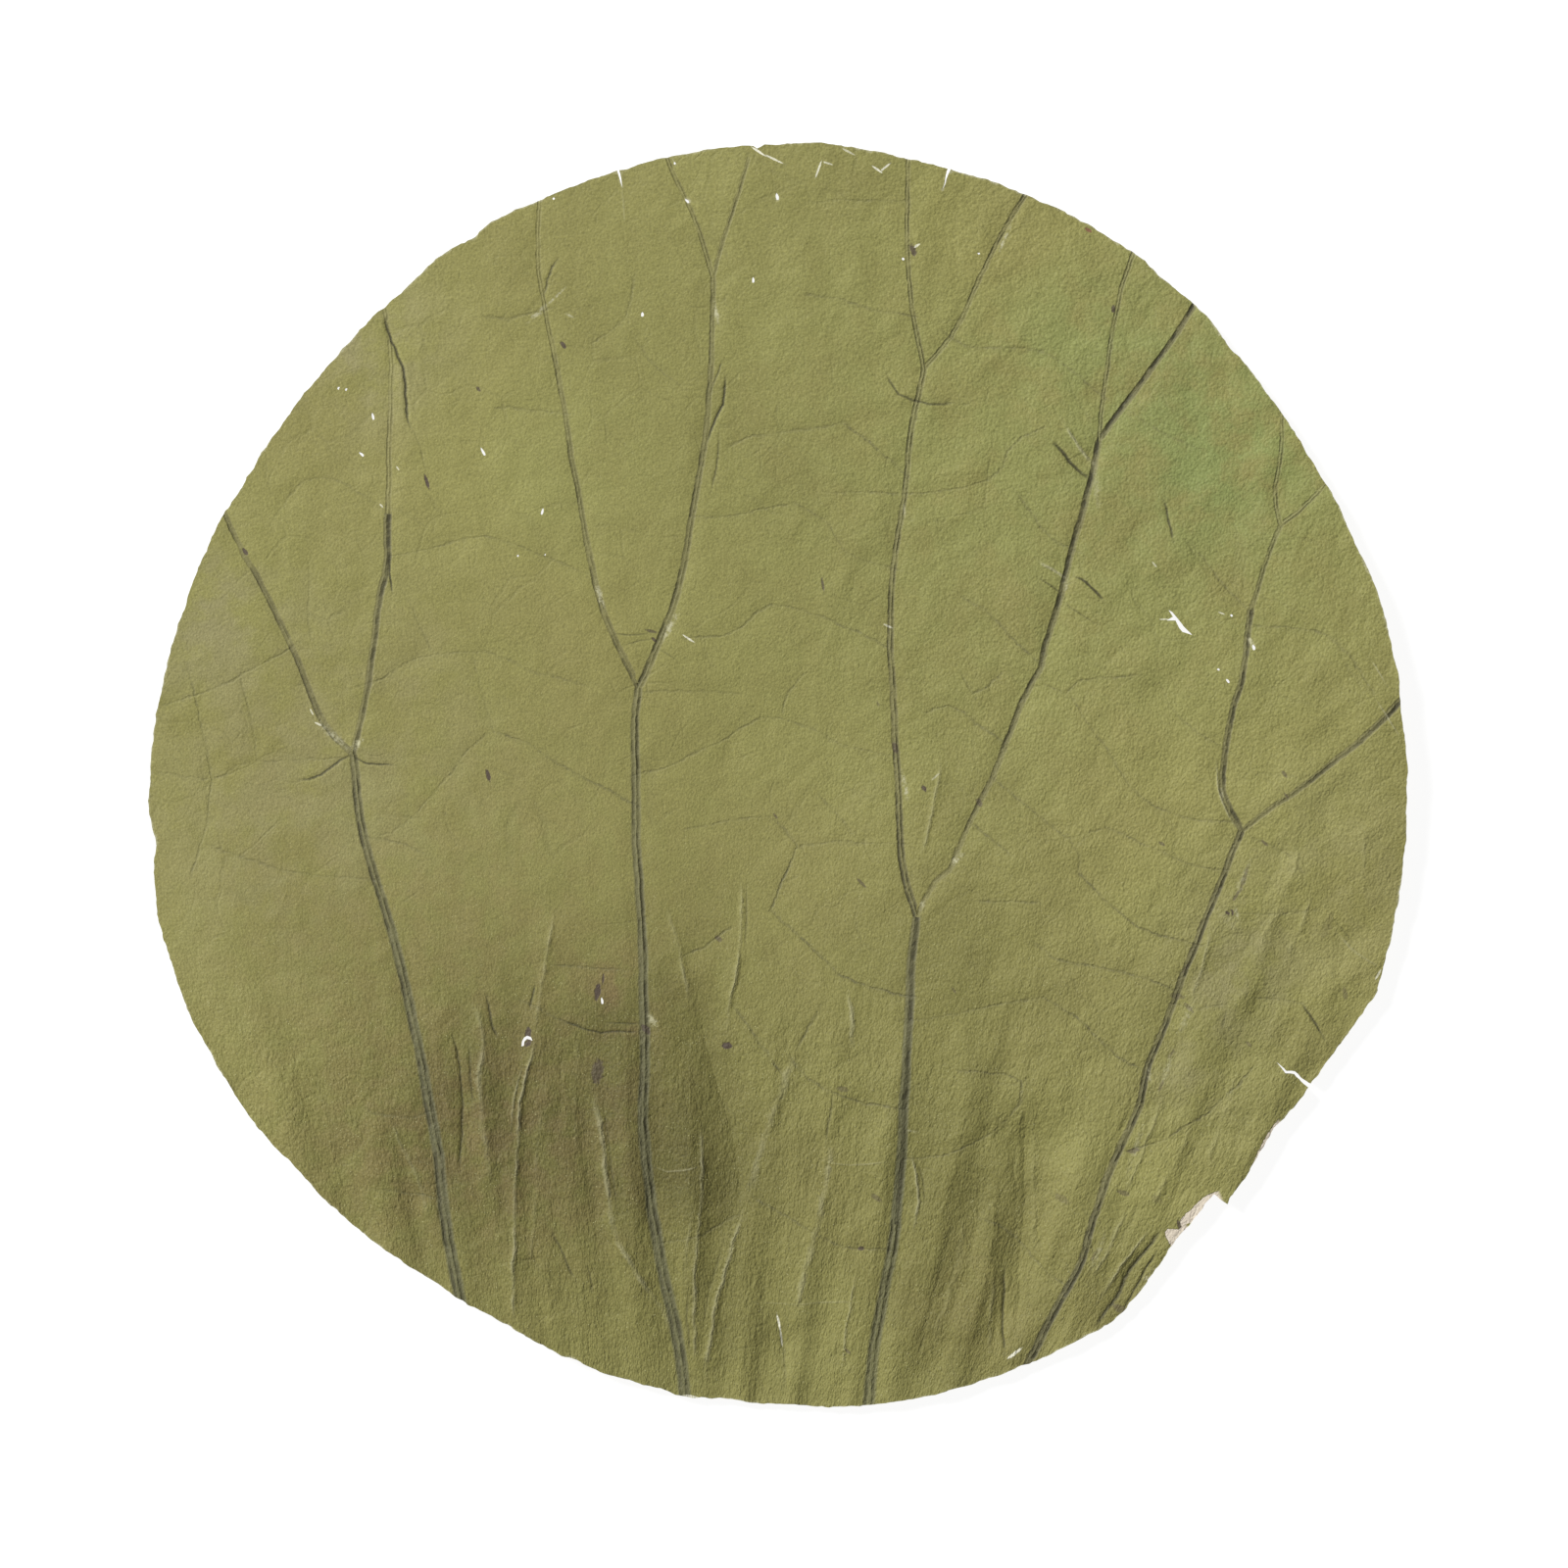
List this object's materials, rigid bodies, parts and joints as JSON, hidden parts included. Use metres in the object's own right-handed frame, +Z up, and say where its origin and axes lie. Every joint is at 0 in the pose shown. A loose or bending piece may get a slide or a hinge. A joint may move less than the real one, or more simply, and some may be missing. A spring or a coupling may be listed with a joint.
{
  "type": "dried lotus leaf",
  "caption": "Dried lotus leaf trimmed to a round disc, lying flat: matte olive upper face with sunken veins, ribs on its underside, small holes and a torn corner.",
  "frame": {"origin": "middle of the small flat spot that the leaf rests on, under the middle of the disc", "axes": "+Z up, out of the velvety upper face; +Y from the petiole side towards the far edge; +X to the leaf's right"},
  "size_m": [0.1997, 0.2008, 0.0057],
  "materials": {
    "leaf": "matte, leathery dried leaf"
  },
  "bodies": {
    "root": {"leaf": "leaf"}
  },
  "joints": []
}
